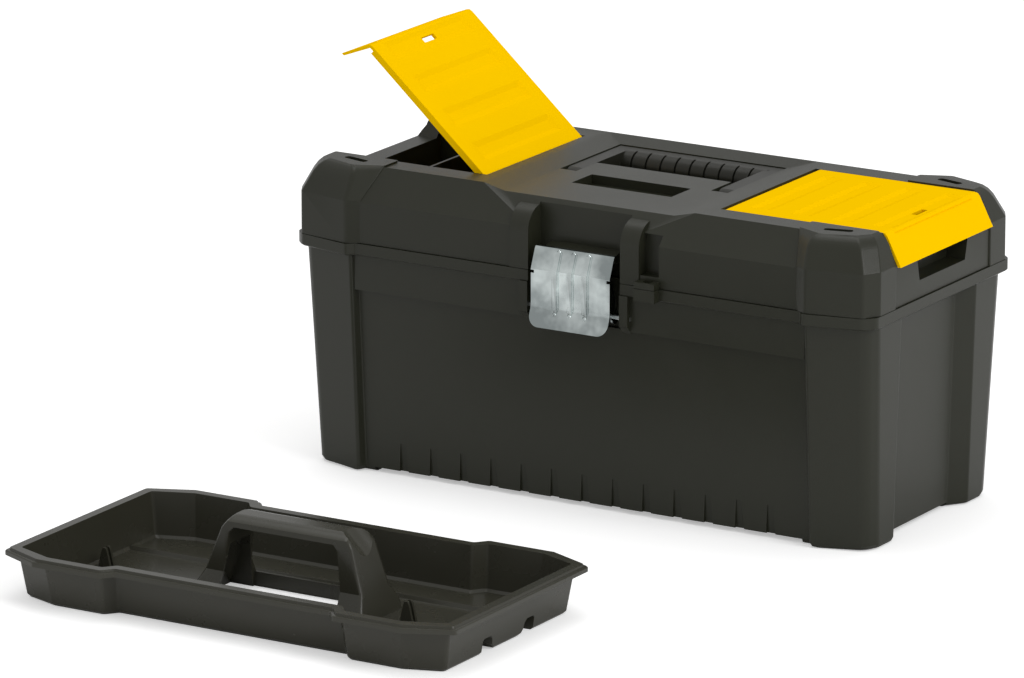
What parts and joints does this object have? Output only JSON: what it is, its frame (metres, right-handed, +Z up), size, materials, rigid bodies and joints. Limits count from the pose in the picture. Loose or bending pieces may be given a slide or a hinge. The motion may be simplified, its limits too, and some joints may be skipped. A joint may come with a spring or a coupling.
{
  "type": "toolbox with tray",
  "caption": "Moulded plastic toolbox with a hinged lid, two flip-up organiser lids on top, a fold-down carrying handle, a steel latch and a lift-out tray standing beside it.",
  "frame": {"origin": "centre of the box's footprint on the floor, without the tray", "axes": "+X along the box to its right end, +Y to its hinged back, +Z up; the latch is on the -Y side"},
  "size_m": [0.408, 0.5303, 0.2647],
  "materials": {
    "box_plastic": "satin moulded polypropylene, charcoal",
    "handle_plastic": "satin moulded polypropylene, charcoal",
    "tray_plastic": "satin moulded polypropylene, charcoal",
    "yellow_plastic": "satin moulded polypropylene, yellow",
    "zinc_steel": "bright zinc plate",
    "pin_steel": "plain drawn wire"
  },
  "bodies": {
    "base": {"base_shell": "box_plastic", "latch_pin": "pin_steel", "left_hinge_rod": "pin_steel", "right_hinge_rod": "pin_steel"},
    "lid": {"lid_shell": "box_plastic"},
    "left_organiser": {"left_organiser_lid": "yellow_plastic"},
    "right_organiser": {"right_organiser_lid": "yellow_plastic"},
    "handle": {"carrying_handle": "handle_plastic"},
    "latch": {"latch_plate": "zinc_steel"},
    "tray": {"tray": "tray_plastic"}
  },
  "joints": [
    {"name": "lid_hinge", "type": "hinge", "parent": "base", "child": "lid", "pos_m": [0, 0.0984, 0.148], "axis": [-1, 0, 0], "range_deg": [0, 110]},
    {"name": "left_organiser_hinge", "type": "hinge", "parent": "lid", "child": "left_organiser", "pos_m": [-0.086, 0, 0.1906], "axis": [0, 1, 0], "range_deg": [-41.5, 58.5]},
    {"name": "right_organiser_hinge", "type": "hinge", "parent": "lid", "child": "right_organiser", "pos_m": [0.086, 0, 0.1906], "axis": [0, -1, 0], "range_deg": [0, 100]},
    {"name": "handle_fold", "type": "hinge", "parent": "lid", "child": "handle", "pos_m": [0, 0, 0.1845], "axis": [1, 0, 0], "range_deg": [0, 90]},
    {"name": "latch_swing", "type": "hinge", "parent": "base", "child": "latch", "pos_m": [0, -0.0896, 0.126], "axis": [1, 0, 0], "range_deg": [0, 50]},
    {"name": "tray_lift", "type": "slide", "parent": "base", "child": "tray", "axis": [0, 0, 1], "range_m": [0, 0.2]}
  ]
}
